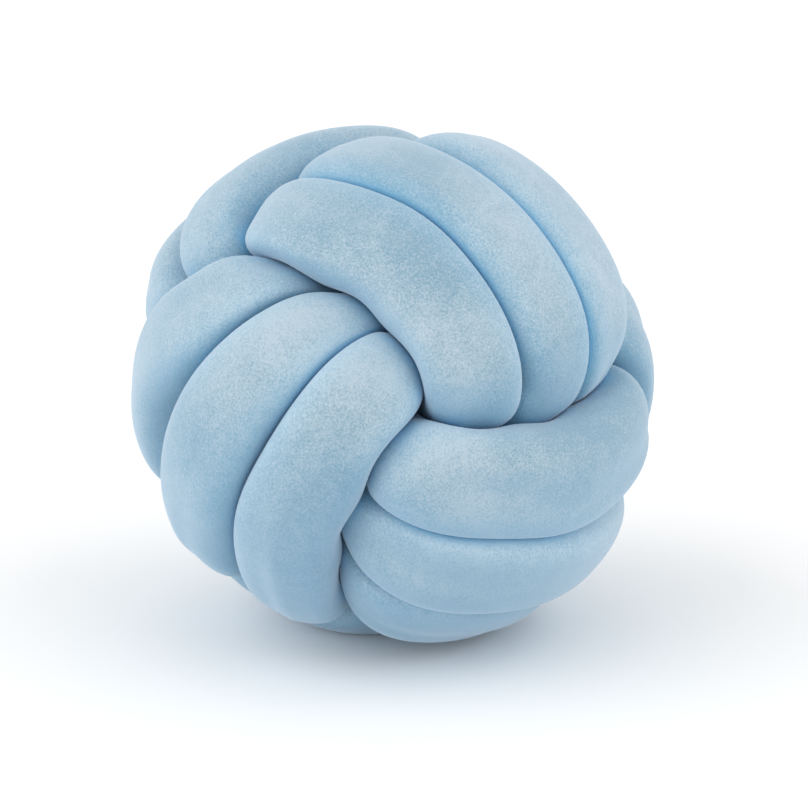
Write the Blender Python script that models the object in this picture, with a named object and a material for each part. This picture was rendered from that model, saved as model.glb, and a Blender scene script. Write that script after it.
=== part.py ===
# Knot cushion: one long stuffed velvet tube, knotted into a ball of three bands at right angles.
# Each band is three turns of the tube. It shows on two sides of the ball and dives under the next
# band on the two sides beside them. The tube's two ends are sewn together inside the ball.
#
# Metres and degrees, +Z up. The origin is under the middle of the ball, on the surface it rests on.

import math

import bpy
import numpy as np
from mathutils import Euler
from mathutils.bvhtree import BVHTree

# Driving dimensions, metres
ballRadius = 0.135          # from the middle of the ball to the crown of a strand
tubeWidth = 0.058           # across a strand that nothing squeezes, along the ball's surface
tubeHeight = 0.047          # through the same strand, towards the middle of the ball
tubeSquare = 2.9            # 2 is an oval section; more is fuller at its shoulders
strandGap = 0.0012          # between two strands that press on each other
footDepth = 0.005           # how far the ball's own weight flattens it underneath
shownRoom = 0.022           # half of the room that a strand takes where it shows
hiddenRoom = 0.017          # the same where it runs under other strands
hiddenPitch = 0.0325        # from turn to turn of a band where it runs under another

# The way the knot lies: turns about X, Y and Z from its own three axes, degrees
lie = (-33.8, 8.6, -139.0)

# Each side of the ball shows three strands of one band. Columns, in millimetres: how far the
# strand's middle line lies aside of the band's middle at its start, middle and end; how far it is
# from the ball's middle; how far out it is where it dives under the next band, at start and end.
sideStrands = {
    "top": ((54, 35, 35, 110, 60, 65), (10, -2, -14, 113, 70, 65), (-38, -44, -37, 117, 43, 65)),
    "right": ((37, 44, 52, 115, 65, 64), (-29, -5, 11, 117, 65, 67), (-75, -48, -33, 113, 65, 66)),
    "left": ((51, 43, 43, 111, 65, 73), (4, -1, -1, 114, 65, 71), (-53, -61, -39, 111, 65, 71)),
    "far": ((48, 56, 53, 116, 60, 65), (18, 3, -10, 118, 70, 65), (-30, -18, -30, 108, 65, 65)),
    "back": ((35, 65, 49, 110, 65, 65), (0, 15, 0, 112, 65, 65), (-45, -45, -45, 112, 65, 65)),
    "under": ((50, 60, 36, 111, 65, 65), (0, 6, 0, 112, 65, 65), (-45, -45, -45, 112, 65, 65)),
}
# Each band: the knot axis that it is wide along, the axis it shows on, the axis it dives on,
# and the two sides of the ball that it shows on
bands = (
    (0, 2, 1, "top", "under"),
    (1, 0, 2, "left", "back"),
    (2, 1, 0, "right", "far"),
)
# The tube's way through the middle of the ball from one band's end to the next band's start,
# millimetres. The other two ways are this one with the three axes exchanged.
throughMiddle = ((-35, -45, 16), (-23, -3, 26), (0, 32, 14))

# Where a band's turns start and end, and where its sizes are given, degrees along its turns
bandStart = -60
bandEnd = 960
shownHalf = 35
diveHalf = 50
bandStep = 3

# How the tube is shaped
cornerPower = 14            # how tightly a strand turns down where it dives
easingTurns = 60            # rounds of moving the strands apart
easingBlend = 0.0047        # smoothing of the path in each round, metres along it
shownFrom = 0.62            # a strand starts to show this far out, as a part of the ball's radius
shownFull = 0.78            # and shows in full from here
shownHold = 0.85            # how much less a strand that shows gives way to its neighbours
easingPush = 0.8            # part of the overlap that one round takes away
hiddenReturn = 0.02         # part of the way back to its own path in each round, where hidden
shownReturn = 0.52          # and where it shows
frameBlend = 0.024          # smoothing of the way out of the ball, metres along the tube
ownReach = 0.081            # strands nearer than this along the tube don't push on each other
nearReach = 0.054           # nor do rings nearer than this
edgePower = 14              # how sharply a strand's crown turns into its pressed side
shownBlend = 0.007          # smoothing along a strand that shows, metres
hiddenBlend = 0.0027        # the same along one that is covered
ringBlend = 0.008           # smoothing round a ring, as a part of the ring
bendRoom = 0.9              # part of the bend's own radius that a ring may take up inside it
contactTurns = 6            # rounds of letting the strands press on each other
besideSteps = 2             # a strand is beside a point that is no more steps than this off its ring
outerLead = 0.06            # how much more of the room between two strands the outer one keeps
leadOver = 0.02             # in full where it lies this much further out, metres
thinnest = 0.003            # least reach of a ring
drawInTurns = 60            # rounds of drawing in faces that still cut into each other
drawIn = 0.04               # part of the way to the ring's middle in each round

# How finely the skin is made
pathSteps = 800
ringSides = 16
shownSag = 0.00035          # how far a straight edge may stand off the curve where it shows
hiddenSag = 0.0018          # and where it is covered
widestSpacing = 0.028       # most room between two rings
closestSpacing = 0.0085     # and least

farAway = 1.0               # out of every strand's reach, metres
tiny = 1e-9                 # keeps a division from dividing by nothing

velvetBlue = (0.42, 0.62, 0.75, 1.0)
velvetRoughness = 0.9


def cubicThrough(stations, values, at):
    # The natural cubic curve through (station, value) pairs, read at the given places.
    stations = np.asarray(stations, float)
    values = np.asarray(values, float)
    gap = np.diff(stations)
    rise = np.diff(values)
    count = len(stations)
    inner = np.arange(1, count - 1)
    matrix = np.zeros((count, count))
    matrix[0, :2] = (2, 1)
    matrix[-1, -2:] = (1, 2)
    matrix[inner, inner - 1] = gap[1:]
    matrix[inner, inner] = 2 * (gap[1:] + gap[:-1])
    matrix[inner, inner + 1] = gap[:-1]
    right = np.empty(count)
    right[0] = 3 * rise[0] / gap[0]
    right[-1] = 3 * rise[-1] / gap[-1]
    right[1:-1] = 3 * (gap[1:] * rise[:-1] / gap[:-1] + gap[:-1] * rise[1:] / gap[1:])
    slope = np.linalg.solve(matrix, right)
    k = np.clip(np.searchsorted(stations, at, side="right") - 1, 0, count - 2)
    u = (at - stations[k]) / gap[k]
    bend0 = slope[k] * gap[k] - rise[k]
    bend1 = rise[k] - slope[k + 1] * gap[k]
    return values[k] + u * rise[k] + u * (1 - u) * ((1 - u) * bend0 + u * bend1)


def softened(values, reach):
    # A closed row of values, each blended with its neighbours over about `reach` steps.
    waves = np.fft.rfftfreq(len(values))
    keep = np.exp(-2 * (math.pi * reach * waves) ** 2)
    keep = keep.reshape((-1,) + (1,) * (values.ndim - 1))
    return np.fft.irfft(np.fft.rfft(values, axis=0) * keep, len(values), axis=0)


def evenly(points, count):
    # The closed row of points again, `count` of them at even steps, and the length of one step.
    loop = np.vstack([points, points[:1]])
    run = np.concatenate([[0], np.cumsum(np.linalg.norm(np.diff(loop, axis=0), axis=1))])
    at = np.linspace(0, run[-1], count, endpoint=False)
    even = np.stack([np.interp(at, run, loop[:, axis]) for axis in range(3)], axis=1)
    return even, run[-1] / count


def bandPath(band):
    # The middle line of one band's three turns, in the knot's own axes. The angle runs from the
    # axis that the band shows on towards the axis that it dives on.
    wideAxis, shownAxis, diveAxis, nearSide, farSide = band
    asideAt, aside, crownAt, crown, diveAt, dive = [], [], [], [], [], []
    for turn in range(3):
        middle = hiddenPitch * (1 - turn)
        if turn == 0:
            asideAt.append(bandStart)
            aside.append(middle)
        for side, centre in ((nearSide, 0), (farSide, 180)):
            start, half, end, height, diveStart, diveEnd = np.array(sideStrands[side][turn]) / 1000
            if side == farSide:
                start, end = end, start
                diveStart, diveEnd = diveEnd, diveStart
            angle = centre + 360 * turn
            asideAt += [angle - shownHalf, angle, angle + shownHalf]
            aside += [start, half, end]
            crownAt.append(angle)
            crown.append(height)
            diveAt += [angle - diveHalf, angle + diveHalf]
            dive += [diveStart, diveEnd]
            if side == nearSide:
                asideAt.append(angle + 90)
                aside.append(middle)
        asideAt.append(360 * turn + 270 if turn < 2 else bandEnd)
        aside.append(middle - hiddenPitch / 2 if turn < 2 else middle)
    angle = np.arange(bandStart, bandEnd + 1, bandStep)
    offset = cubicThrough(asideAt, aside, angle)
    onBall = np.sqrt(np.interp(angle, crownAt, crown) ** 2 - offset ** 2)
    wall = np.interp(angle, diveAt, dive)
    turned = np.radians(angle)
    # the smaller of the ball's radius and the way out to the wall, with a round change between them
    away = (onBall ** -cornerPower + (np.abs(np.sin(turned)) / wall) ** cornerPower) ** (-1 / cornerPower)
    points = np.empty((len(angle), 3))
    points[:, wideAxis] = offset
    points[:, shownAxis] = away * np.cos(turned)
    points[:, diveAxis] = away * np.sin(turned)
    return points


def wholePath():
    # Three bands, each followed by the tube's way through the middle to the next one.
    pieces = []
    for number, band in enumerate(bands):
        pieces.append(bandPath(band))
        pieces.append(np.roll(np.array(throughMiddle) / 1000, number, axis=1))
    return evenly(np.concatenate(pieces), pathSteps)


def shownShare(path):
    # 1 where a strand shows on the ball, 0 where others cover it, with a smooth change.
    outward = np.linalg.norm(path, axis=1) / ballRadius
    share = np.clip((outward - shownFrom) / (shownFull - shownFrom), 0, 1)
    return share ** 3 * (share * (6 * share - 15) + 10)


def apart(path, step):
    # From each point to every other: the way there, its length, and how far it is along the tube.
    way = path[:, None] - path[None]
    number = np.arange(len(path))
    along = np.abs(number[:, None] - number[None])
    along = np.minimum(along, len(path) - along) * step
    return way, np.linalg.norm(way, axis=2), along


def easedPath():
    # Strands that stand too near each other are moved apart. Those that show stay where they are,
    # and the hidden ones give way.
    start, step = wholePath()
    shown = shownShare(start)
    room = hiddenRoom + (shownRoom - hiddenRoom) * shown
    gives = 1 - shownHold * shown
    goesBack = (hiddenReturn + (shownReturn - hiddenReturn) * shown)[:, None]
    share = gives[:, None] / (gives[:, None] + gives[None])
    path = start
    for turn in range(easingTurns):
        way, far, along = apart(path, step)
        press = np.maximum(room[:, None] + room[None] - far, 0) * (along > ownReach)
        push = way / np.maximum(far, tiny)[..., None] * (press * share * press ** 2)[..., None]
        weight = np.maximum((press ** 2).sum(axis=1), tiny)[:, None]
        path = path + easingPush * push.sum(axis=1) / weight
        path = path + (start - path) * goesBack
        path = softened(path, easingBlend / step)
    return evenly(path, pathSteps)


def unit(vectors):
    return vectors / np.maximum(np.linalg.norm(vectors, axis=-1, keepdims=True), tiny)


def ringFrames(path, step):
    # At each point: the way along the tube, the way out of the ball, and the way across.
    along = unit(np.roll(path, -1, axis=0) - np.roll(path, 1, axis=0))
    out = softened(unit(path), frameBlend / step)
    out = unit(out - (out * along).sum(axis=1, keepdims=True) * along)
    return along, out, np.cross(along, out)


def keptShare(path, other=None):
    # How much of the room between two strands each one keeps: more for the one further out.
    outward = np.linalg.norm(path, axis=1)
    theirs = outward[None] if other is None else outward[other]
    lead = np.clip((outward[:, None] - theirs) / leadOver, -1, 1)
    return 0.5 + outerLead * lead * (3 - lead ** 2) / 2


def tubeSkin(path, step):
    # The tube's surface: a ring of points round each point of the path.
    along, out, aside = ringFrames(path, step)
    turn = np.linspace(0, 2 * math.pi, ringSides, endpoint=False)
    spoke = np.cos(turn)[None, :, None] * out[:, None] + np.sin(turn)[None, :, None] * aside[:, None]
    # a free strand is an oval with full shoulders
    high = np.abs(np.cos(turn) / (tubeHeight / 2)) ** tubeSquare
    wide = np.abs(np.sin(turn) / (tubeWidth / 2)) ** tubeSquare
    oval = (high + wide) ** (-1 / tubeSquare)
    # where two strands press on each other, each reaches to the plane between them
    way, far, apartBy = apart(path, step)
    between = np.where(apartBy > nearReach, far * (far - strandGap) * keptShare(path), farAway)
    towards = np.maximum(-np.einsum("abx,asx->asb", way, spoke), tiny)
    pressed = np.minimum((between[:, None] / towards).min(axis=2), farAway)
    reach = (pressed ** -edgePower + oval[None] ** -edgePower) ** (-1 / edgePower)
    # on the inside of a bend the rings must not cross
    bend = (np.roll(along, -1, axis=0) - np.roll(along, 1, axis=0)) / (2 * step)
    inward = np.maximum(np.einsum("ax,asx->as", bend, spoke), tiny)
    reach = np.minimum(reach, bendRoom / inward)
    shown = shownShare(path)[:, None]
    reach = shown * softened(reach, shownBlend / step) + (1 - shown) * softened(reach, hiddenBlend / step)
    reach = softened(reach.T, ringBlend * ringSides).T
    for go in range(contactTurns):
        depth, other = contactDepth(path, step, along, out, aside, spoke, reach, apartBy)
        reach = reach - np.clip(depth, 0, None) * (1 - keptShare(path, other))
        reach = np.maximum(reach, thinnest)
    return path[:, None] + spoke * reach[..., None]


def contactDepth(path, step, along, out, aside, spoke, reach, apartBy):
    # How deep each point of the skin is in the strand beside it, and which point of the path that
    # strand has there. A point further along the same strand doesn't count.
    skin = path[:, None] + spoke * reach[..., None]
    count, sides = reach.shape
    depth = np.empty((count, sides))
    other = np.empty((count, sides), int)
    own = apartBy < nearReach
    for side in range(sides):
        way = skin[:, side, None] - path[None]
        far = (way ** 2).sum(axis=2)
        far[own] = farAway
        nearest = far.argmin(axis=1)
        way = way[np.arange(count), nearest]
        ahead = (way * along[nearest]).sum(axis=1)
        up = (way * out[nearest]).sum(axis=1)
        across = (way * aside[nearest]).sum(axis=1)
        row = nearest + ahead / step
        column = np.arctan2(across, up) / (2 * math.pi) * sides
        theirs = readGrid(reach, row, column)
        beside = np.abs(ahead) < besideSteps * step
        depth[:, side] = np.where(beside, theirs + strandGap - np.hypot(up, across), -farAway)
        other[:, side] = nearest
    return depth, other


def readGrid(grid, row, column):
    # A grid that is closed both ways, read between its points.
    rows, columns = grid.shape
    r0 = np.floor(row).astype(int)
    c0 = np.floor(column).astype(int)
    u = row - r0
    v = column - c0
    near = grid[r0 % rows, c0 % columns] * (1 - v) + grid[r0 % rows, (c0 + 1) % columns] * v
    far = grid[(r0 + 1) % rows, c0 % columns] * (1 - v) + grid[(r0 + 1) % rows, (c0 + 1) % columns] * v
    return near * (1 - u) + far * u


def chosenRings(path, step):
    # Rings stand closer where the tube bends and where it shows.
    shown = shownShare(path)
    sag = hiddenSag + (shownSag - hiddenSag) * shown
    bend = np.linalg.norm(np.roll(path, -1, axis=0) - 2 * path + np.roll(path, 1, axis=0), axis=1)
    bend = softened(bend / step ** 2, easingBlend / step)
    spacing = np.sqrt(8 * sag / np.maximum(bend, tiny))
    spacing = np.clip(spacing, closestSpacing, widestSpacing)
    passed = np.cumsum(step / spacing)
    count = int(round(passed[-1]))
    return np.searchsorted(passed, (np.arange(count) + 0.5) * passed[-1] / count)


def laidDown(skin):
    # The ball turned the way it lies, with its foot flat on the surface and its middle over Z.
    turn = np.array(Euler([math.radians(angle) for angle in lie], "XYZ").to_matrix())
    skin = skin @ turn.T
    ground = skin[..., 2].min() + footDepth
    skin[..., 2] = np.maximum(skin[..., 2], ground)
    low = skin.min(axis=(0, 1))
    high = skin.max(axis=(0, 1))
    return skin - np.array([(low[0] + high[0]) / 2, (low[1] + high[1]) / 2, ground])


def tubeFaces(rings, sides):
    # Two triangles between each pair of points on neighbouring rings; the last ring meets the first.
    point = np.arange(rings * sides).reshape(rings, sides)
    beside = np.roll(point, -1, axis=1)
    ahead = np.roll(point, -1, axis=0)
    across = np.roll(ahead, -1, axis=1)
    first = np.stack([point, beside, across], axis=-1).reshape(-1, 3)
    second = np.stack([point, across, ahead], axis=-1).reshape(-1, 3)
    return np.concatenate([first, second])


def drawnIn(skin):
    # Where flat faces of two strands still cut into each other, both are drawn towards the middle
    # of their rings. What stands on the surface stays there.
    rings, sides = skin.shape[:2]
    faces = tubeFaces(rings, sides)
    for turn in range(drawInTurns):
        points = skin.reshape(-1, 3)
        tree = BVHTree.FromPolygons(points.tolist(), faces.tolist())
        pairs = np.array(tree.overlap(tree), int).reshape(-1, 2)
        corners = faces[pairs]
        touching = (corners[:, 0, :, None] == corners[:, 1, None, :]).any(axis=(1, 2))
        cutting = np.unique(corners[~touching])
        if len(cutting) == 0:
            break
        middle = np.repeat(skin.mean(axis=1), sides, axis=0)
        moved = points[cutting] + (middle[cutting] - points[cutting]) * drawIn
        moved[:, 2] = np.where(points[cutting, 2] > 0, moved[:, 2], 0)
        points[cutting] = moved
        skin = points.reshape(rings, sides, 3)
    return skin


def velvet():
    material = bpy.data.materials.new("velvet")
    material.use_nodes = True
    shader = material.node_tree.nodes["Principled BSDF"]
    shader.inputs["Base Color"].default_value = velvetBlue
    shader.inputs["Roughness"].default_value = velvetRoughness
    shader.inputs["Metallic"].default_value = 0.0
    return material


def knottedTube(collection):
    path, step = easedPath()
    skin = tubeSkin(path, step)
    skin = drawnIn(laidDown(skin[chosenRings(path, step)]))
    rings, sides = skin.shape[:2]
    mesh = bpy.data.meshes.new("stuffed_tube")
    mesh.from_pydata(skin.reshape(-1, 3).tolist(), [], tubeFaces(rings, sides).tolist())
    mesh.materials.append(velvet())
    mesh.shade_smooth()
    tube = bpy.data.objects.new("stuffed_tube", mesh)
    collection.objects.link(tube)


def main():
    for old in list(bpy.data.objects):
        bpy.data.objects.remove(old, do_unlink=True)
    collection = bpy.data.collections.new("knot_cushion")
    bpy.context.scene.collection.children.link(collection)
    knottedTube(collection)


main()
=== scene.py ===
import math

import bpy
import numpy as np
from mathutils import Euler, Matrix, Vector


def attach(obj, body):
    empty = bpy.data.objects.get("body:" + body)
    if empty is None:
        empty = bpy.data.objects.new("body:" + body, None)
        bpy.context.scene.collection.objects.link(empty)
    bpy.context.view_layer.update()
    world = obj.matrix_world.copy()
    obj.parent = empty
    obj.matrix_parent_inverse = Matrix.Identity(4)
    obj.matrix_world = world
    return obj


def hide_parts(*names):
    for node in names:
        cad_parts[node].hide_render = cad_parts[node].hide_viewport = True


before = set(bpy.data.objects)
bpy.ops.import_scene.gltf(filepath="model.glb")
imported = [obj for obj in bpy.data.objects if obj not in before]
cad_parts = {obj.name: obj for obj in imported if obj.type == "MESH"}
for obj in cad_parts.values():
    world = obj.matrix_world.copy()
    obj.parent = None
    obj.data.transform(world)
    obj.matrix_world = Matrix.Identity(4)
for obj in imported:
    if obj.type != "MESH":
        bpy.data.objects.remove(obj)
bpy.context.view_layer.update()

print("frame loaded")

# Knot cushion: one long stuffed velvet tube, knotted as a ball of three bands of three turns.
# The tube's path and skin are worked out as the solid's are, at a much finer step. The strands are
# pressed together until they touch, and the velvet settles as cloth. Metres and degrees, +Z up.

tube = dict(
    ballRadius=0.135,      # from the middle of the ball to a strand's crown
    width=0.058,           # across a strand that nothing squeezes
    height=0.047,          # through the same strand
    square=2.9,            # 2 is an oval; more is fuller at its shoulders
    gap=0.0005,            # between strands that press on each other
    footDepth=0.005,       # how far its own weight flattens the ball underneath
    shownRoom=0.022,       # half of the room a strand takes where it shows
    hiddenRoom=0.017,      # and where it runs under others
    hiddenPitch=0.0325,    # from turn to turn of a band where it is covered
    lie=(-33.8, 8.6, -139.0),
    pathSteps=800,         # the path is eased apart at this many points
    skinSteps=1100,        # and the skin is made at this many rings
    sides=60,
    crowded=0.45,          # how much nearer each other the points lie on the outer side
    roundings=1,           # how often the faces are divided in the end
)

# Three strands on each side of the ball, millimetres: aside of the band's middle at start, middle
# and end, distance of the crown's middle line, where it dives at start and end
sideStrands = {
    "top": ((54, 35, 35, 110, 60, 65), (10, -2, -14, 113, 70, 65), (-38, -44, -37, 117, 43, 65)),
    "right": ((37, 44, 52, 115, 65, 64), (-29, -5, 11, 117, 65, 67), (-75, -48, -33, 113, 65, 66)),
    "left": ((51, 43, 43, 111, 65, 73), (4, -1, -1, 114, 65, 71), (-53, -61, -39, 111, 65, 71)),
    "far": ((48, 56, 53, 116, 60, 65), (18, 3, -10, 118, 70, 65), (-30, -18, -30, 108, 65, 65)),
    "back": ((35, 65, 49, 110, 65, 65), (0, 15, 0, 112, 65, 65), (-45, -45, -45, 112, 65, 65)),
    "under": ((50, 60, 36, 111, 65, 65), (0, 6, 0, 112, 65, 65), (-45, -45, -45, 112, 65, 65)),
}
# each band: wide along, shows on, dives on, near side, far side
bands = (
    (0, 2, 1, "top", "under"),
    (1, 0, 2, "left", "back"),
    (2, 1, 0, "right", "far"),
)
# from one band's end to the next band's start, millimetres
throughMiddle = ((-35, -45, 16), (-23, -3, 26), (0, 32, 14))

path = dict(
    start=-60, end=960, step=3,     # degrees along a band's three turns
    shownHalf=35, diveHalf=50,      # where the table's sizes hold
    corner=14,                      # how tightly a strand turns down
    rounds=60,                      # of moving the strands apart
    blend=0.0047,                   # evens out the path in each round
    push=0.8,                       # part of an overlap that a round takes away
    shownFrom=0.62, shownFull=0.78, # parts of the ball's radius where a strand starts to show
    hold=0.85,                      # how much less a strand that shows gives way
    hiddenReturn=0.02, shownReturn=0.52,   # part of the way back to its place in each round
    ownReach=0.081,                 # strands nearer than this along the tube don't push
)

skinShape = dict(
    frameBlend=0.024,               # evens out the way out of the ball, along the tube
    nearReach=0.054,                # rings nearer than this along the tube don't press each other
    edge=22,                        # how sharply a crown turns into its pressed side
    shownBlend=0.007, hiddenBlend=0.0027, ringBlend=0.007,
    lean=0.06, leanOver=0.02,       # the strand further out keeps more of the room between two
    bendRoom=0.9,                   # part of a bend's own radius that a ring takes up inside it
    rounds=8,                       # of pressing on each other
    thinnest=0.003,
    besideSteps=2,                  # how many steps off its ring a strand is still beside a point
    calm=0.0022, spokeGap=0.003,    # evens out the marks of the pressing
    lumpDepth=0.0007, lumpLength=0.022, lumpRound=0.06,   # the filling's soft lumps
    farAway=1.0, tiny=1e-9, seed=5,
)

# how near the next strand a point of the skin is: the way off where that ends, and its blend
creases = dict(pressed=(0.003, 0.0015), beside=(0.020, 0.005))
creaseSpokeGap = 0.0042


def cubicThrough(stations, values, at):
    # natural cubic curve through (station, value) pairs, read at the given places
    stations = np.asarray(stations, float)
    values = np.asarray(values, float)
    gap = np.diff(stations)
    rise = np.diff(values)
    count = len(stations)
    inner = np.arange(1, count - 1)
    matrix = np.zeros((count, count))
    matrix[0, :2] = (2, 1)
    matrix[-1, -2:] = (1, 2)
    matrix[inner, inner - 1] = gap[1:]
    matrix[inner, inner] = 2 * (gap[1:] + gap[:-1])
    matrix[inner, inner + 1] = gap[:-1]
    right = np.empty(count)
    right[0] = 3 * rise[0] / gap[0]
    right[-1] = 3 * rise[-1] / gap[-1]
    right[1:-1] = 3 * (gap[1:] * rise[:-1] / gap[:-1] + gap[:-1] * rise[1:] / gap[1:])
    slope = np.linalg.solve(matrix, right)
    k = np.clip(np.searchsorted(stations, at, side="right") - 1, 0, count - 2)
    u = (at - stations[k]) / gap[k]
    bend0 = slope[k] * gap[k] - rise[k]
    bend1 = rise[k] - slope[k + 1] * gap[k]
    return values[k] + u * rise[k] + u * (1 - u) * ((1 - u) * bend0 + u * bend1)


def softened(values, reach):
    # a closed row of values times a bell curve `reach` steps wide, through its waves
    waves = np.fft.rfftfreq(len(values))
    keep = np.exp(-2 * (math.pi * reach * waves) ** 2)
    keep = keep.reshape((-1,) + (1,) * (values.ndim - 1))
    return np.fft.irfft(np.fft.rfft(values, axis=0) * keep, len(values), axis=0)


def evenly(points, count):
    # the closed row of points again at even steps, and the length of a step
    loop = np.vstack([points, points[:1]])
    run = np.concatenate([[0], np.cumsum(np.linalg.norm(np.diff(loop, axis=0), axis=1))])
    at = np.linspace(0, run[-1], count, endpoint=False)
    even = np.stack([np.interp(at, run, loop[:, axis]) for axis in range(3)], axis=1)
    return even, run[-1] / count


def finer(points, count):
    # the closed row at more points, with the same waves
    waves = np.fft.rfft(points, axis=0) * (count / len(points))
    more = np.zeros((count // 2 + 1, points.shape[1]), complex)
    more[:len(waves)] = waves
    return np.fft.irfft(more, count, axis=0)


def bandPath(band):
    # middle line of one band's turns: a circle's angle, an offset aside by a cubic curve, and a
    # distance that is the smaller of the ball's radius and the way to the wall where it dives
    wideAxis, shownAxis, diveAxis, nearSide, farSide = band
    asideAt, aside, crownAt, crown, diveAt, dive = [], [], [], [], [], []
    pitch = tube["hiddenPitch"]
    for turn in range(3):
        middle = pitch * (1 - turn)
        if turn == 0:
            asideAt.append(path["start"])
            aside.append(middle)
        for side, centre in ((nearSide, 0), (farSide, 180)):
            start, half, end, height, diveStart, diveEnd = np.array(sideStrands[side][turn]) / 1000
            if side == farSide:
                start, end = end, start
                diveStart, diveEnd = diveEnd, diveStart
            angle = centre + 360 * turn
            asideAt += [angle - path["shownHalf"], angle, angle + path["shownHalf"]]
            aside += [start, half, end]
            crownAt.append(angle)
            crown.append(height)
            diveAt += [angle - path["diveHalf"], angle + path["diveHalf"]]
            dive += [diveStart, diveEnd]
            if side == nearSide:
                asideAt.append(angle + 90)
                aside.append(middle)
        asideAt.append(360 * turn + 270 if turn < 2 else path["end"])
        aside.append(middle - pitch / 2 if turn < 2 else middle)
    angle = np.arange(path["start"], path["end"] + 1, path["step"])
    offset = cubicThrough(asideAt, aside, angle)
    onBall = np.sqrt(np.interp(angle, crownAt, crown) ** 2 - offset ** 2)
    wall = np.interp(angle, diveAt, dive)
    turned = np.radians(angle)
    power = path["corner"]
    away = (onBall ** -power + (np.abs(np.sin(turned)) / wall) ** power) ** (-1 / power)
    points = np.empty((len(angle), 3))
    points[:, wideAxis] = offset
    points[:, shownAxis] = away * np.cos(turned)
    points[:, diveAxis] = away * np.sin(turned)
    return points


def wholePath():
    # the bands one after another, each with the tube's way through the middle to the next
    pieces = []
    for number, band in enumerate(bands):
        pieces.append(bandPath(band))
        pieces.append(np.roll(np.array(throughMiddle) / 1000, number, axis=1))
    return evenly(np.concatenate(pieces), tube["pathSteps"])


def shownShare(points):
    # 1 where a strand shows on the ball, 0 where others cover it: a smooth step of the radius
    outward = np.linalg.norm(points, axis=1) / tube["ballRadius"]
    share = np.clip((outward - path["shownFrom"]) / (path["shownFull"] - path["shownFrom"]), 0, 1)
    return share ** 3 * (share * (6 * share - 15) + 10)


def alongApart(count, step):
    # how far apart each two points lie along the closed tube
    number = np.arange(count)
    along = np.abs(number[:, None] - number[None])
    return np.minimum(along, count - along) * step


def easedPath():
    # strands too near each other are moved apart; those that show hold their place
    start, step = wholePath()
    shown = shownShare(start)
    room = tube["hiddenRoom"] + (tube["shownRoom"] - tube["hiddenRoom"]) * shown
    gives = 1 - path["hold"] * shown
    goesBack = (path["hiddenReturn"] + (path["shownReturn"] - path["hiddenReturn"]) * shown)[:, None]
    share = gives[:, None] / (gives[:, None] + gives[None])
    others = alongApart(len(start), step) > path["ownReach"]
    points = start
    for turn in range(path["rounds"]):
        way = points[:, None] - points[None]
        far = np.linalg.norm(way, axis=2)
        press = np.maximum(room[:, None] + room[None] - far, 0) * others
        push = way / np.maximum(far, skinShape["tiny"])[..., None] * (press * share * press ** 2)[..., None]
        weight = np.maximum((press ** 2).sum(axis=1), skinShape["tiny"])[:, None]
        points = points + path["push"] * push.sum(axis=1) / weight
        points = points + (start - points) * goesBack
        points = softened(points, path["blend"] / step)
    points, step = evenly(points, tube["pathSteps"])
    return evenly(finer(points, tube["skinSteps"]), tube["skinSteps"])


def unit(vectors):
    size = np.linalg.norm(vectors, axis=-1, keepdims=True)
    return vectors / np.maximum(size, skinShape["tiny"])


def ringFrames(points, step):
    # the way along the tube, the way out of the ball, and the way across
    along = unit(np.roll(points, -1, axis=0) - np.roll(points, 1, axis=0))
    out = softened(unit(points), skinShape["frameBlend"] / step)
    out = unit(out - (out * along).sum(axis=1, keepdims=True) * along)
    return along, out, np.cross(along, out)


def spokeTurns():
    # the spokes' angles round a ring, nearer each other on the side that shows
    even = np.linspace(0, 2 * math.pi, tube["sides"] + 1)
    return even - tube["crowded"] * np.sin(even)


def readGrid(grid, row, column):
    # a grid closed both ways, read between its points
    rows, columns = grid.shape
    r0 = np.floor(row).astype(int)
    c0 = np.floor(column).astype(int)
    u = row - r0
    v = column - c0
    near = grid[r0 % rows, c0 % columns] * (1 - v) + grid[r0 % rows, (c0 + 1) % columns] * v
    far = grid[(r0 + 1) % rows, c0 % columns] * (1 - v) + grid[(r0 + 1) % rows, (c0 + 1) % columns] * v
    return near * (1 - u) + far * u


def keptShare(points, other=None):
    # how much of the room between two strands each one keeps: more for the one further out
    outward = np.linalg.norm(points, axis=1)
    theirs = outward[None] if other is None else outward[other]
    lead = np.clip((outward[:, None] - theirs) / skinShape["leanOver"], -1, 1)
    return 0.5 + skinShape["lean"] * lead * (3 - lead ** 2) / 2


def lumps(rows, columns, step):
    # the filling's soft lumps: random numbers blended along the tube and round it
    values = np.random.default_rng(skinShape["seed"]).standard_normal((rows, columns))
    values = softened(values, skinShape["lumpLength"] / step)
    values = softened(values.T, skinShape["lumpRound"] * columns).T
    return values / values.std()


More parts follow.
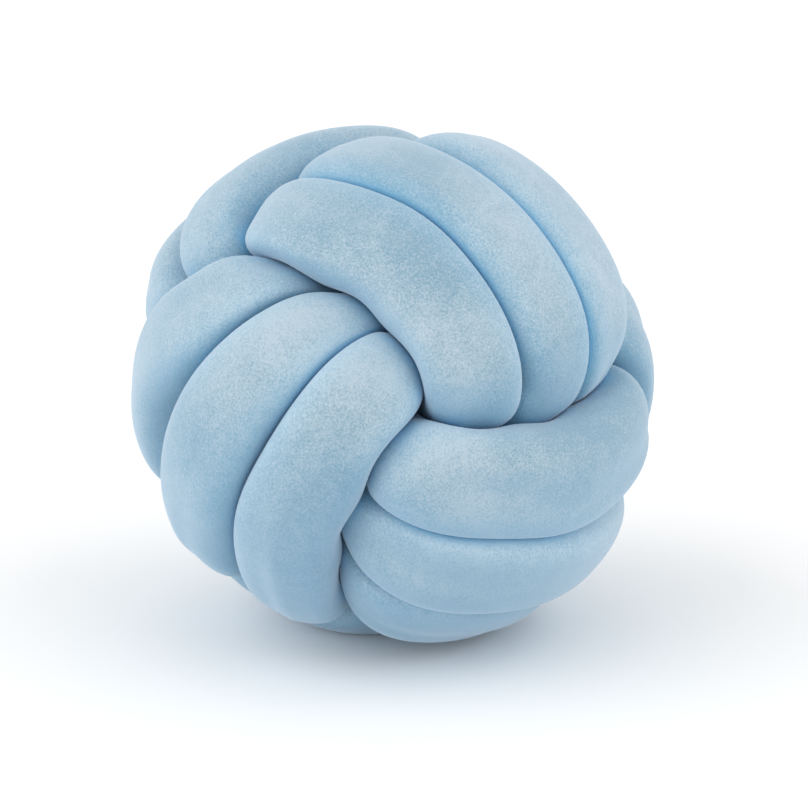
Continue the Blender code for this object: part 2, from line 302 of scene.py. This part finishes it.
def tubeSkin(points, step):
    # rings of spokes; a spoke's reach is the smaller of a free oval and the plane halfway to the
    # strands beside it, softened along and round the tube, then pressed until nothing overlaps
    s = skinShape
    along, out, aside = ringFrames(points, step)
    sides = tube["sides"]
    turn = spokeTurns()[:-1]
    spoke = np.cos(turn)[None, :, None] * out[:, None] + np.sin(turn)[None, :, None] * aside[:, None]
    square = tube["square"]
    highPart = np.abs(np.cos(turn) / (tube["height"] / 2)) ** square
    widePart = np.abs(np.sin(turn) / (tube["width"] / 2)) ** square
    oval = (highPart + widePart) ** (-1 / square)
    far = np.linalg.norm(points[:, None] - points[None], axis=2)
    near = alongApart(len(points), step) < s["nearReach"]
    halfway = np.where(near, s["farAway"], far * (far - tube["gap"]) * keptShare(points))
    pressed = np.empty((len(points), sides))
    for side in range(sides):
        towards = spoke[:, side] @ points.T - (spoke[:, side] * points).sum(axis=1)[:, None]
        pressed[:, side] = (halfway / np.maximum(towards, s["tiny"])).min(axis=1)
    pressed = np.minimum(pressed, s["farAway"])
    reach = (pressed ** -s["edge"] + oval[None] ** -s["edge"]) ** (-1 / s["edge"])
    bend = (np.roll(along, -1, axis=0) - np.roll(along, 1, axis=0)) / (2 * step)
    inward = np.maximum(np.einsum("ax,asx->as", bend, spoke), s["tiny"])
    reach = np.minimum(reach, s["bendRoom"] / inward)
    shown = shownShare(points)[:, None]
    openReach = softened(reach, s["shownBlend"] / step)
    coveredReach = softened(reach, s["hiddenBlend"] / step)
    reach = shown * openReach + (1 - shown) * coveredReach
    reach = softened(reach.T, s["ringBlend"] * sides).T
    reach = reach + s["lumpDepth"] * lumps(len(points), sides, step) * shown
    for go in range(s["rounds"]):
        skin = points[:, None] + spoke * reach[..., None]
        depth, other = contactDepth(points, step, skin, reach)
        reach = reach - np.clip(depth, 0, None) * (1 - keptShare(points, other))
        reach = np.maximum(reach, s["thinnest"])
    calm = softened(softened(reach, s["calm"] / step).T, s["calm"] / s["spokeGap"]).T
    reach = reach + (calm - reach) * shown
    print("deepest overlap where it shows", round(float((depth * (shown > 0.5)).max()) * 1000, 2), "mm")
    return points[:, None] + spoke * reach[..., None]


def contactDepth(points, step, skin, reach):
    # how deep each skin point is in the strand beside it, read in that strand's own rings; a point
    # further along the same strand doesn't count
    along, out, aside = ringFrames(points, step)
    count, sides = reach.shape
    depth = np.empty((count, sides))
    other = np.empty((count, sides), int)
    size = (points ** 2).sum(axis=1)
    near = alongApart(count, step) < skinShape["nearReach"]
    blocked = np.where(near, skinShape["farAway"] * 10, 0)
    turns = spokeTurns()
    number = np.arange(sides + 1)
    for side in range(sides):
        nearest = (size[None] - 2 * skin[:, side] @ points.T + blocked).argmin(axis=1)
        way = skin[:, side] - points[nearest]
        ahead = (way * along[nearest]).sum(axis=1)
        up = (way * out[nearest]).sum(axis=1)
        across = (way * aside[nearest]).sum(axis=1)
        place = np.interp(np.arctan2(across, up) % (2 * math.pi), turns, number)
        theirs = readGrid(reach, nearest + ahead / step, place)
        overlap = theirs + tube["gap"] - np.hypot(up, across)
        beside = np.abs(ahead) < skinShape["besideSteps"] * step
        depth[:, side] = np.where(beside, overlap, -skinShape["farAway"])
        other[:, side] = nearest
    return depth, other


stuffing = dict(
    coarser=2,                      # every second ring and spoke
    slimmer=0.008,                  # the cloth starts this share slimmer than the skin
    fuller=0.07,                    # and would be this much fuller if nothing pressed it
    heldBelow=0.35, freeAbove=0.75, # how much a strand shows that is held still, and free
    holdLevels=10, hold=3.0,
    quality=6, mass=0.2, stretch=25.0, shear=12.0, bending=3.0, pressure=7.0,
    apart=0.0006, rub=2.0, contactQuality=3,
    frames=12,
    mostMove=0.004,                 # no point moves further
    even=0.003,                     # evens out the moves
)


def clothObject(skin, fullest, held, step):
    # the skin as cloth: blown up from inside, kept off itself, and held where it is covered
    mesh = gridMesh("cloth", skin, step)
    cloth = bpy.data.objects.new("cloth", mesh)
    bpy.context.scene.collection.objects.link(cloth)
    cloth.shape_key_add(name="start")
    rest = cloth.shape_key_add(name="fullest")
    rest.data.foreach_set("co", fullest.reshape(-1).astype(np.float32))
    group = cloth.vertex_groups.new(name="held")
    levels = np.round(held * stuffing["holdLevels"]).astype(int).reshape(-1)
    for level in range(1, stuffing["holdLevels"] + 1):
        group.add(np.nonzero(levels == level)[0].tolist(), level / stuffing["holdLevels"], "REPLACE")
    modifier = cloth.modifiers.new("cloth", "CLOTH")
    settings = modifier.settings
    settings.quality = stuffing["quality"]
    settings.mass = stuffing["mass"]
    settings.tension_stiffness = stuffing["stretch"]
    settings.compression_stiffness = stuffing["stretch"]
    settings.shear_stiffness = stuffing["shear"]
    settings.bending_stiffness = stuffing["bending"]
    settings.use_pressure = True
    settings.uniform_pressure_force = stuffing["pressure"]
    settings.effector_weights.gravity = 0
    settings.vertex_group_mass = "held"
    settings.pin_stiffness = stuffing["hold"]
    settings.rest_shape_key = rest
    settings.shrink_min = 0
    contact = modifier.collision_settings
    contact.use_collision = False
    contact.use_self_collision = True
    contact.self_distance_min = stuffing["apart"]
    contact.self_friction = stuffing["rub"]
    contact.collision_quality = stuffing["contactQuality"]
    return cloth


def stuffed(points, skin, step, free):
    # a coarser copy settles as cloth over a few frames; its moves are capped, evened out and read
    # back onto the skin, and fade away towards the creases, where free is 0
    coarse = stuffing["coarser"]
    share = shownShare(points)[:, None, None]
    spoke = skin - points[:, None]
    start = (skin - spoke * stuffing["slimmer"] * share)[::coarse, ::coarse]
    fullest = (skin + spoke * stuffing["fuller"] * share)[::coarse, ::coarse]
    freeRange = stuffing["freeAbove"] - stuffing["heldBelow"]
    outward = (share[::coarse, :, 0] - stuffing["heldBelow"]) / freeRange
    held = np.repeat(1 - np.clip(outward, 0, 1), start.shape[1], axis=1)
    cloth = clothObject(start, fullest, held, step * coarse)
    for number in range(1, stuffing["frames"] + 1):
        bpy.context.scene.frame_set(number)
        blown = cloth.evaluated_get(bpy.context.evaluated_depsgraph_get()).data
    place = np.empty(start.size, np.float32)
    blown.vertices.foreach_get("co", place)
    move = place.reshape(start.shape) - skin[::coarse, ::coarse]
    far = np.linalg.norm(move, axis=2, keepdims=True)
    print("cloth settled, furthest move", round(float(far.max()) * 1000, 2), "mm")
    move = move * np.minimum(1, stuffing["mostMove"] / np.maximum(far, skinShape["tiny"]))
    bpy.context.scene.frame_set(1)
    mesh = cloth.data
    bpy.data.objects.remove(cloth)
    bpy.data.meshes.remove(mesh)
    row = np.arange(skin.shape[0])[:, None] / coarse
    column = np.arange(skin.shape[1])[None] / coarse
    even = stuffing["even"]
    for axis in range(3):
        part = readGrid(move[..., axis], row, column)
        part = softened(softened(part, even / step).T, even / skinShape["spokeGap"]).T
        skin[..., axis] += part * free * share[..., 0]
    return skin


def laidDown(skin):
    # the ball turned the way it lies, flat on the floor underneath; also where its middle goes
    turn = np.array(Euler([math.radians(angle) for angle in tube["lie"]], "XYZ").to_matrix())
    skin = skin @ turn.T
    ground = skin[..., 2].min() + tube["footDepth"]
    skin[..., 2] = np.maximum(skin[..., 2], ground)
    low = skin.min(axis=(0, 1))
    high = skin.max(axis=(0, 1))
    shift = -np.array([(low[0] + high[0]) / 2, (low[1] + high[1]) / 2, ground])
    return skin + shift, shift


def creaseShares(points, skin, step):
    # how near a point of the skin is to the next strand: 1 on it, 0 at the given way off
    reach = np.linalg.norm(skin - points[:, None], axis=2)
    depth, other = contactDepth(points, step, skin, reach)
    shares = {}
    for name, (way, blend) in creases.items():
        share = np.clip(1 + depth / way, 0, 1)
        shares[name] = softened(softened(share, blend / step).T, blend / creaseSpokeGap).T
    return shares


def gridMesh(name, skin, step):
    # four-cornered faces between neighbouring rings, closed both ways, and a map in metres:
    # the first number runs along the tube, the second round it
    rows, columns = skin.shape[:2]
    point = np.arange(rows * columns).reshape(rows, columns)
    ahead = np.roll(point, -1, axis=0)
    faces = np.stack([point, np.roll(point, -1, axis=1), np.roll(ahead, -1, axis=1), ahead], axis=-1)
    faces = faces.reshape(-1, 4)
    mesh = bpy.data.meshes.new(name)
    mesh.vertices.add(rows * columns)
    mesh.vertices.foreach_set("co", skin.reshape(-1).astype(np.float32))
    mesh.loops.add(faces.size)
    mesh.loops.foreach_set("vertex_index", faces.reshape(-1).astype(np.int32))
    mesh.polygons.add(len(faces))
    mesh.polygons.foreach_set("loop_start", np.arange(0, faces.size, 4, dtype=np.int32))
    mesh.update(calc_edges=True)
    row, column = np.meshgrid(np.arange(rows), np.arange(columns), indexing="ij")
    girth = math.pi * (tube["width"] + tube["height"]) / 2
    u = np.stack([row, row, row + 1, row + 1], axis=-1) * step
    v = np.stack([column, column + 1, column + 1, column], axis=-1) * girth / columns
    layer = mesh.uv_layers.new(name="tubeMap")
    layer.data.foreach_set("uv", np.stack([u, v], axis=-1).reshape(-1).astype(np.float32))
    mesh.shade_smooth()
    mesh.validate()
    return mesh


def addNode(tree, kind, place, settings=(), **inputs):
    # settings are the node's own fields, inputs its sockets, named in camelCase
    node = tree.nodes.new(kind)
    node.location = place
    for name, value in dict(settings).items():
        setattr(node, name, value)
    for name, value in inputs.items():
        words = "".join(" " + letter if letter.isupper() else letter for letter in name).title()
        node.inputs[words].default_value = value
    return node


velvet = dict(
    deep=(0.19, 0.33, 0.43, 1.0),      # pile leaning away
    pale=(0.44, 0.54, 0.61, 1.0),      # pile leaning to the light
    rim=(0.53, 0.65, 0.75, 1.0),       # painted sheen: a paler colour where the surface is seen edge-on
    paintedSheenShare=0.72, paintedSheenBlend=0.30,
    creaseShadeColour=(0.21, 0.58, 0.86, 1.0),    # painted crease shade: the saturated blue that creases show in shade
    creaseShadeShare=0.88, besideShadeShare=0.20,
    under=(0.08, 0.27, 0.43, 1.0),     # painted shade: undersides deeper blue, as if less light reached them
    undersideShadeShare=0.68,
    undersideShadeFrom=0.15, undersideShadeFull=-0.75,   # how far upwards the surface faces, 1 to -1
    # noises: scale, share, detail and distortion
    grain=(1000.0, 0.42, 3.0, 0.5),    # clusters of pile about 1 mm wide
    patch=(11.0, 0.36, 1.0, 0.3),      # nap brushed one way or the other, some centimetres
    stroke=(70.0, 0.12, 2.0, 1.0),     # strokes of a hand, about 1 cm
    noiseRoughness=0.55, noiseLow=0.32, noiseHigh=0.68,
    evenMix=0.5,
    roughness=0.95, specular=0.10,
    sheen=0.5, sheenRoughness=0.34, sheenTint=(0.80, 0.90, 1.0, 1.0),
    bump=0.5, bumpDepth=0.0006,
)
mixSockets = dict(first=6, second=7, result=2)   # the colour ones of a Mix node


def noisePart(tree, place, where, kind):
    # a noise's own value, and the same between minus and plus its share
    scale, share, detail, distortion = velvet[kind]
    noise = addNode(tree, "ShaderNodeTexNoise", where, scale=scale, detail=detail,
                    roughness=velvet["noiseRoughness"], distortion=distortion)
    tree.links.new(place, noise.inputs["Vector"])
    part = addNode(tree, "ShaderNodeMapRange", (where[0] + 250, where[1]), fromMin=velvet["noiseLow"],
                   fromMax=velvet["noiseHigh"], toMin=-share, toMax=share)
    tree.links.new(noise.outputs["Fac"], part.inputs["Value"])
    return noise.outputs["Fac"], part.outputs["Result"]


def mapped(tree, value, where, **ends):
    part = addNode(tree, "ShaderNodeMapRange", where, **ends)
    tree.links.new(value, part.inputs["Value"])
    return part.outputs["Result"]


def added(tree, first, second, where, clamp=False):
    # second is a number or another node's output
    both = addNode(tree, "ShaderNodeMath", where, dict(operation="ADD", use_clamp=clamp))
    tree.links.new(first, both.inputs[0])
    if isinstance(second, float):
        both.inputs[1].default_value = second
    else:
        tree.links.new(second, both.inputs[1])
    return both.outputs["Value"]


def mixed(tree, first, second, share, where):
    # the second colour over the first; each is a fixed colour or another node's output
    mix = addNode(tree, "ShaderNodeMix", where, dict(data_type="RGBA"))
    for name, colour in (("first", first), ("second", second)):
        socket = mix.inputs[mixSockets[name]]
        if isinstance(colour, tuple):
            socket.default_value = colour
        else:
            tree.links.new(colour, socket)
    tree.links.new(share, mix.inputs["Factor"])
    return mix.outputs[mixSockets["result"]]


def paintedCreaseShade(tree):
    # painted crease shade: a little beside a crease, and more in it
    v = velvet
    pressed = addNode(tree, "ShaderNodeAttribute", (-850, 650), dict(attribute_name="pressed"))
    beside = addNode(tree, "ShaderNodeAttribute", (-850, 850), dict(attribute_name="beside"))
    besideShadePart = mapped(tree, beside.outputs["Fac"], (-600, 850), toMax=v["besideShadeShare"])
    creaseShadePart = mapped(tree, pressed.outputs["Fac"], (-600, 650), toMax=v["creaseShadeShare"] - v["besideShadeShare"])
    return added(tree, besideShadePart, creaseShadePart, (-350, 800))


def paintedUndersideShade(tree):
    # painted underside shade: none where the surface faces up, and all of it where it faces down
    normal = addNode(tree, "ShaderNodeNewGeometry", (-850, 1150))
    upright = addNode(tree, "ShaderNodeSeparateXYZ", (-650, 1150))
    tree.links.new(normal.outputs["Normal"], upright.inputs["Vector"])
    return mapped(tree, upright.outputs["Z"], (-450, 1150), fromMin=velvet["undersideShadeFrom"],
                  fromMax=velvet["undersideShadeFull"], toMax=velvet["undersideShadeShare"])


def velvetMaterial():
    # pile colour from three noises, then painted shade in the creases and on the undersides, then a painted
    # sheen on the edge-on rims
    v = velvet
    material = bpy.data.materials.new("pale blue velvet")
    material.use_nodes = True
    tree = material.node_tree
    link = tree.links.new
    shader = tree.nodes["Principled BSDF"]
    shader.inputs["Roughness"].default_value = v["roughness"]
    shader.inputs["Metallic"].default_value = 0.0
    shader.inputs["Specular IOR Level"].default_value = v["specular"]
    shader.inputs["Sheen Weight"].default_value = v["sheen"]
    shader.inputs["Sheen Roughness"].default_value = v["sheenRoughness"]
    shader.inputs["Sheen Tint"].default_value = v["sheenTint"]
    place = addNode(tree, "ShaderNodeTexCoord", (-1500, 0)).outputs["Object"]
    grain, grainPart = noisePart(tree, place, (-1250, 300), "grain")
    patchPart = noisePart(tree, place, (-1250, 0), "patch")[1]
    strokePart = noisePart(tree, place, (-1250, -300), "stroke")[1]
    lean = added(tree, grainPart, patchPart, (-750, 200))
    lean = added(tree, lean, strokePart, (-600, 100))
    lean = added(tree, lean, v["evenMix"], (-450, 100), clamp=True)
    colour = mixed(tree, v["deep"], v["pale"], lean, (-300, 100))
    # painted shade in and beside the creases
    colour = mixed(tree, colour, v["creaseShadeColour"], paintedCreaseShade(tree), (-100, 200))
    # painted shade on the surfaces that face down
    colour = mixed(tree, colour, v["under"], paintedUndersideShade(tree), (0, 600))
    # painted sheen: the colour turns paler where the surface is seen edge-on
    facing = addNode(tree, "ShaderNodeLayerWeight", (-350, 450), blend=v["paintedSheenBlend"])
    paintedSheenPart = mapped(tree, facing.outputs["Facing"], (-150, 450), toMax=v["paintedSheenShare"])
    colour = mixed(tree, colour, v["rim"], paintedSheenPart, (80, 300))
    link(colour, shader.inputs["Base Color"])
    bump = addNode(tree, "ShaderNodeBump", (-400, -250), strength=v["bump"], distance=v["bumpDepth"])
    link(grain, bump.inputs["Height"])
    link(bump.outputs["Normal"], shader.inputs["Normal"])
    return material


def knottedTube():
    points, step = easedPath()
    print("path eased,", round(step * len(points), 2), "m of tube")
    skin = tubeSkin(points, step)
    free = 1 - creaseShares(points, skin, step)["beside"]
    skin = stuffed(points, skin, step, free)
    shares = creaseShares(points, skin, step)
    skin, middle = laidDown(skin)
    mesh = gridMesh("velvetTube", skin, step)
    # the crease shares go onto the mesh, where the material paints crease shade from them
    for name, share in shares.items():
        layer = mesh.attributes.new(name, "FLOAT", "POINT")
        layer.data.foreach_set("value", share.reshape(-1).astype(np.float32))
    mesh.materials.append(velvetMaterial())
    piece = bpy.data.objects.new("velvetTube", mesh)
    bpy.context.scene.collection.objects.link(piece)
    rounder = piece.modifiers.new("rounder", "SUBSURF")
    rounder.levels = tube["roundings"]
    rounder.render_levels = tube["roundings"]
    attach(piece, "root")
    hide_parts("stuffed_tube")
    return piece, Vector(middle)


ground = dict(size=16.0, colour=(0.98, 0.98, 0.98, 1.0), roughness=0.9, specular=0.1)


def paleFloor():
    half = ground["size"] / 2
    mesh = bpy.data.meshes.new("paleFloor")
    corners = [(-half, -half, 0), (half, -half, 0), (half, half, 0), (-half, half, 0)]
    mesh.from_pydata(corners, [], [(0, 1, 2, 3)])
    material = bpy.data.materials.new("pale floor")
    material.use_nodes = True
    shader = material.node_tree.nodes["Principled BSDF"]
    shader.inputs["Base Color"].default_value = ground["colour"]
    shader.inputs["Roughness"].default_value = ground["roughness"]
    shader.inputs["Specular IOR Level"].default_value = ground["specular"]
    mesh.materials.append(material)
    floor = bpy.data.objects.new("paleFloor", mesh)
    bpy.context.scene.collection.objects.link(floor)


studio = dict(
    sky=(1.0, 1.0, 1.0, 1.0), skyStrength=0.78,
    suns=(((-1.0, -0.35, 0.55), 1.45), ((1.0, -0.35, 0.55), 1.05)),   # a big soft light on each side
    sunAngle=75.0,
)


def studioLight():
    world = bpy.data.worlds.new("studio")
    world.use_nodes = True
    sky = world.node_tree.nodes["Background"]
    sky.inputs["Color"].default_value = studio["sky"]
    sky.inputs["Strength"].default_value = studio["skyStrength"]
    bpy.context.scene.world = world
    for place, strength in studio["suns"]:
        lamp = bpy.data.lights.new("softLight", "SUN")
        lamp.energy = strength
        lamp.angle = math.radians(studio["sunAngle"])
        light = bpy.data.objects.new("softLight", lamp)
        light.rotation_euler = Vector(place).to_track_quat("Z", "Y").to_euler()
        bpy.context.scene.collection.objects.link(light)
    bpy.context.scene.view_settings.view_transform = "Standard"


view = dict(
    elevation=15.0,
    away=1.215,                        # from the middle of the ball
    ballPixels=261.0,                  # the ball's radius in the picture
    middlePixel=(393.5, 386.1),        # where its middle lies there
    picture=(808, 800),
    sensor=36.0,
)


def photoCamera(middle):
    # the focal length makes the ball as large as it is in the picture, and the shift puts its
    # middle where it is there
    wide, high = view["picture"]
    tilt = math.radians(view["elevation"])
    data = bpy.data.cameras.new("camera")
    camera = bpy.data.objects.new("camera", data)
    camera.location = middle + Vector((0, -math.cos(tilt), math.sin(tilt))) * view["away"]
    camera.rotation_euler = (math.pi / 2 - tilt, 0, 0)
    focalPixels = view["ballPixels"] / math.tan(math.asin(tube["ballRadius"] / view["away"]))
    data.sensor_width = view["sensor"]
    data.lens = focalPixels * view["sensor"] / wide
    data.shift_x = (wide / 2 - view["middlePixel"][0]) / wide
    data.shift_y = (view["middlePixel"][1] - high / 2) / wide
    bpy.context.scene.collection.objects.link(camera)
    bpy.context.scene.camera = camera


piece, middle = knottedTube()
paleFloor()
studioLight()
photoCamera(middle)
print("floor, light and camera placed")
